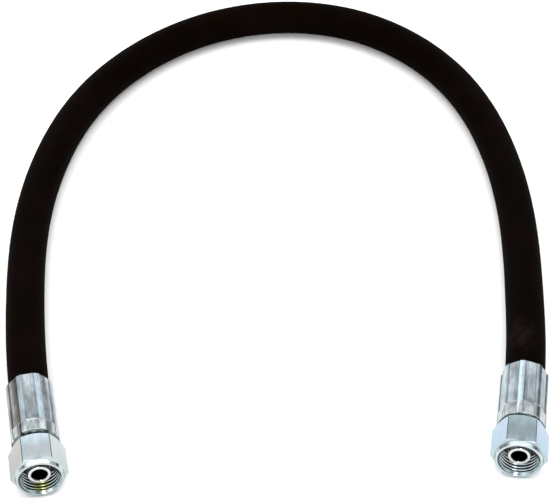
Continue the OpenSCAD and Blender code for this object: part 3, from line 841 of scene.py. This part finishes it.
nipple = {
    "bore": 3, "tail": 4.4, "tailEnd": -28.05, "barbHeight": 0.35, "barbPitch": 4, "barbShare": 0.8, "barbs": 5,
    "collar": 5.6, "collarBack": -5.65, "collarFront": -4.05, "neck": 4.7, "spigotBack": 0.267, "spigot": 6.1,
    "coneHalf": 12, "land": 4.45, "landBack": 13.1, "nose": 14.3, "noseRound": 0.3, "noseEdge": 0.55,
    "grooveAt": 11.1, "grooveWidth": 2, "grooveBottom": 3.7,
    "columns": 144,
}
ringSeat = {"at": 3, "radius": 6.135, "wire": 0.9, "seat": 0.97, "steps": 9, "arc": 330, "endRound": 0.3,
            "endShrink": 0.6}
oRing = {"at": 11.1, "radius": 4.5, "wire": 0.75}


# A piece turned on the lathe: one closed outline of (radius, station) carried round the axis.
def turnedPiece(name, side, outline, columns, node, material):
    angle = np.linspace(0, 2 * math.pi, columns, endpoint=False)[None, :]
    radius = np.broadcast_to(outline[:, :1], (len(outline), columns))
    points, own = placeOnFitting(side, radius, outline[:, 1:], angle)
    return gridPiece(name, points, "hose", node, material, place=own)


def nipplePiece(side):
    n = nipple
    root = n["tail"] - n["barbHeight"]
    outline, cuts = [(n["bore"], n["tailEnd"])], [0.3]
    for i in range(n["barbs"]):
        back = n["tailEnd"] + i * n["barbPitch"]
        crest = back + n["barbShare"] * n["barbPitch"]
        outline += [(root, back), (n["tail"], crest), (root, crest)]
        cuts += [0.1, 0.08, 0.1]
    # the half-round channel of the retaining wire in the spigot
    reach = math.acos((n["spigot"] - ringSeat["radius"]) / ringSeat["seat"])
    channel = [(ringSeat["radius"] + ringSeat["seat"] * math.cos(a), ringSeat["at"] - ringSeat["seat"] * math.sin(a))
               for a in np.linspace(reach, 2 * math.pi - reach, ringSeat["steps"])]
    coneRun = (n["spigot"] - n["land"]) / math.tan(math.radians(n["coneHalf"]))

    def coneAt(z):
        return n["land"] + (n["landBack"] - z) * math.tan(math.radians(n["coneHalf"]))

    grooveBack, grooveFront = n["grooveAt"] - n["grooveWidth"] / 2, n["grooveAt"] + n["grooveWidth"] / 2
    outline += [(root, n["collarBack"]), (n["collar"], n["collarBack"]), (n["collar"], n["collarFront"]),
                (n["neck"], n["collarFront"]), (n["neck"], n["spigotBack"]), (n["spigot"], n["spigotBack"])]
    cuts += [0.1, 0.25, 0.25, 0.15, 0.15, 0.3]
    outline += channel
    cuts += [0.05] * len(channel)
    outline += [(n["spigot"], n["landBack"] - coneRun), (coneAt(grooveBack), grooveBack),
                (n["grooveBottom"], grooveBack), (n["grooveBottom"], grooveFront),
                (coneAt(grooveFront), grooveFront), (n["land"], n["landBack"]),
                (n["land"], n["nose"]), (n["bore"] + n["noseRound"], n["nose"]),
                (n["bore"], n["nose"] - n["noseRound"])]
    cuts += [0.3, 0.12, 0.15, 0.15, 0.12, 0.3, n["noseEdge"], 0.1, 0.1]
    rounded = roundOutline(np.array(outline, float), cuts)
    return turnedPiece(side + "_nipple_turned", side, rounded, n["columns"], side + "_nipple",
                       zinc["nipple"])


def oRingPiece(side):
    a = np.linspace(0, 2 * math.pi, 24, endpoint=False)
    outline = np.stack([oRing["radius"] + oRing["wire"] * np.cos(a), oRing["at"] + oRing["wire"] * np.sin(a)], axis=1)
    return turnedPiece(side + "_o_ring_moulded", side, outline, 96, side + "_o_ring", sealRubber)


# An open ring of round wire with softly rounded ends: over the last "endRound" of the wire's radius the section
# shrinks to wire * sqrt(1 - endShrink * (1 - share)^2).
def retainingWirePiece(side):
    wire, arc, rounded = ringSeat["wire"], math.radians(ringSeat["arc"]), ringSeat["endRound"]
    nearEnd = np.array([0, 0.02, 0.06, 0.12, 0.2, rounded]) * wire
    rows = np.concatenate([nearEnd / ringSeat["radius"], np.linspace(0.05, arc - 0.05, 110),
                           arc - nearEnd[::-1] / ringSeat["radius"]])
    ends = np.minimum(rows, arc - rows) * ringSeat["radius"]
    share = np.clip(ends / (rounded * wire), 0, 1)
    size = wire * np.sqrt(1 - (1 - share) ** 2 * ringSeat["endShrink"])
    section = np.linspace(0, 2 * math.pi, 24, endpoint=False)[None, :]
    radius = ringSeat["radius"] + size[:, None] * np.cos(section)
    station = ringSeat["at"] + size[:, None] * np.sin(section)
    points, own = placeOnFitting(side, radius, station, math.pi / 2 - rows[:, None])
    return gridPiece(side + "_retaining_wire_drawn", points, "hose", side + "_retaining_wire",
                     springWire, place=own, openRows=True)


nut = {
    "acrossFlats": 19, "back": 0.8, "front": 16.6, "corner": 0.35,
    "faceRadius": 8.4, "chamfer": 37,                # of the rear end, in degrees from the face
    "shoulder": 15.1, "shoulderSlope": 10, "lipRoot": 9.4, "lip": 9,
    "bore": 6.17, "landFront": 5.2, "reliefRadius": 8.15, "threadBack": 6.4,
    "minor": 7.188, "threadDepth": 0.812, "pitch": 1.5, "crestFlat": 0.375, "rootFlat": 0.1875,
    "mouth": 8.2, "threadRow": 0.075, "runOut": 0.5,
    "flatColumns": 22, "cornerColumns": 13, "cornerFrom": 27.6,      # degrees from the middle of a flat
    # turnShade, lipShade and sinkShade: painted shade on the thread's first turn, on the lower half of the lip's edge
    # and on the sides of the countersink
    "turnShade": 0.85, "lipShade": 0.6, "sinkShade": 0.4,       # on the first turn, the lip and the countersink
}


# Distance from the axis to the side of a hexagon with rounded corners, at an angle from the middle of a flat:
# half across flats / cos(angle), and near a corner the far side of the rounding circle.
def hexagonRadius(angle):
    half, rounding = nut["acrossFlats"] / 2, nut["corner"]
    sector = math.radians(60)
    off = np.abs((angle + sector / 2) % sector - sector / 2)
    centre = (half - rounding) / math.cos(sector / 2)
    fromCorner = sector / 2 - off
    circle = centre * np.cos(fromCorner) + np.sqrt(np.maximum(
        rounding ** 2 - (centre * np.sin(fromCorner)) ** 2, 0))
    tangentAngle = math.atan((half - rounding) * math.tan(sector / 2) / half)
    return np.where(off <= tangentAngle, half / np.cos(off), circle)


# Depth of the thread below its crests at a height and an angle. Along the axis it is a trapezium with flanks of
# 60 degrees between them: crest flat, flank, root flat, flank; it climbs one pitch in a turn, right-handed.
def threadDepth(station, angle):
    phase = (station / nut["pitch"] + angle / (2 * math.pi)) % 1
    half = np.abs(phase - 0.5) * nut["pitch"]
    flank = (nut["pitch"] - nut["crestFlat"] - nut["rootFlat"]) / 2
    return nut["threadDepth"] * (1 - np.clip((half - nut["rootFlat"] / 2) / flank, 0, 1))


def nutPiece(side):
    sector, cornerFrom = math.radians(60), math.radians(nut["cornerFrom"])
    spread = np.concatenate([np.linspace(-cornerFrom, cornerFrom, nut["flatColumns"]),
                             np.linspace(cornerFrom, sector - cornerFrom, nut["cornerColumns"])[1:-1]])
    angle = np.concatenate([spread + i * sector for i in range(6)])[None, :]
    hexagon = hexagonRadius(angle[0])
    rearDrop = (hexagon - nut["faceRadius"]) * math.tan(math.radians(nut["chamfer"]))
    frontDrop = (hexagon - nut["lipRoot"]) * math.tan(math.radians(nut["shoulderSlope"]))
    ones = np.ones_like(hexagon)
    corners = np.stack([np.stack([ones * radius, ones * station], axis=-1) for radius, station in (
        (nut["bore"], nut["back"]), (nut["faceRadius"], nut["back"]),
        (hexagon, nut["back"] + rearDrop), (hexagon, nut["shoulder"] - frontDrop),
        (nut["lipRoot"], nut["shoulder"]), (nut["lip"], nut["front"]), (nut["mouth"], nut["front"]),
        (nut["minor"], nut["front"] - nut["mouth"] + nut["minor"]), (nut["minor"], nut["back"] + 1))], axis=1)
    cuts = [0.25, 0.2, 0.15, 0.12, 0.04, 0.15, 0.1, 0, 0]
    steps = 5
    outside = roundOutline(corners, cuts, steps)[:, :7 * steps]          # columns, rows, 2
    outside = outside.transpose(1, 0, 2)
    stations = np.arange(nut["front"] - 0.12, nut["threadBack"], -nut["threadRow"])[:, None]
    cone = nut["mouth"] - (nut["front"] - stations)
    threaded = np.maximum(nut["minor"] + threadDepth(stations, angle), cone)
    runOut = smoothStep((stations - nut["threadBack"]) / nut["runOut"])
    threaded = nut["reliefRadius"] + (threaded - nut["reliefRadius"]) * runOut
    seatReach = math.acos((nut["bore"] - ringSeat["radius"]) / ringSeat["seat"])
    seat = [(ringSeat["radius"] + ringSeat["seat"] * math.cos(a), ringSeat["at"] + ringSeat["seat"] * math.sin(a))
            for a in np.linspace(seatReach, -seatReach, ringSeat["steps"])]
    inside = [(nut["reliefRadius"], nut["threadBack"]), (nut["reliefRadius"], nut["landFront"]),
              (nut["bore"], nut["landFront"]), *seat]
    inside = roundOutline(np.array([*inside, (nut["bore"], nut["back"] + 0.3)], float),
                          [0.1, 0.2, 0.15] + [0.04] * len(seat) + [0.0], 4)[:-4]
    columns = angle.shape[1]
    radius = np.concatenate([outside[..., 0], threaded, np.broadcast_to(inside[:, :1], (len(inside), columns))])
    station = np.concatenate([outside[..., 1], np.broadcast_to(stations, threaded.shape),
                              np.broadcast_to(inside[:, 1:], (len(inside), columns))])
    points, own = placeOnFitting(side, radius, station, angle)
    # each flat of the hexagon takes its own tint from nutFaceShade, as painted shade and reflection
    face = np.round(angle / sector).astype(int) % 6
    faceShade = np.array(fittings[side]["nutFaceShade"])[face] * (radius > nut["mouth"])
    behind = nut["front"] - station
    lip = (np.abs(radius - nut["lip"]) < 0.12) & (behind < 0.3) & (np.cos(angle) < 0.2)
    countersink = (behind < 0.95) & (radius > nut["minor"] + 0.05) & (radius < nut["mouth"] - 0.05)
    aside = smoothStep((np.abs(np.sin(angle)) - 0.45) / 0.35)
    # where the thread's first turn cuts the countersink, which is mouth - behind in radius
    firstTurn = (behind < 1.4) & (radius > nut["mouth"] - behind + 0.06) & (radius < nut["mouth"] - 0.1)
    # painted shade: a dark tint on the first turn, on the lip's edge in its lower half and on the countersink's sides
    paintedShade = np.where(firstTurn, nut["turnShade"], nut["lipShade"] * lip + nut["sinkShade"] * countersink * aside)
    marks = np.stack([paintedShade, faceShade, 0 * faceShade], axis=-1)
    return gridPiece(side + "_swivel_nut_threaded", points, side + "_nut", side + "_swivel_nut",
                     zinc[side + "Nut"], place=own, marks=marks)


for side in ("left", "right"):
    ferrulePiece(side)
    nipplePiece(side)
    oRingPiece(side)
    retainingWirePiece(side)
    nutPiece(side)
    print(side, "fitting made")
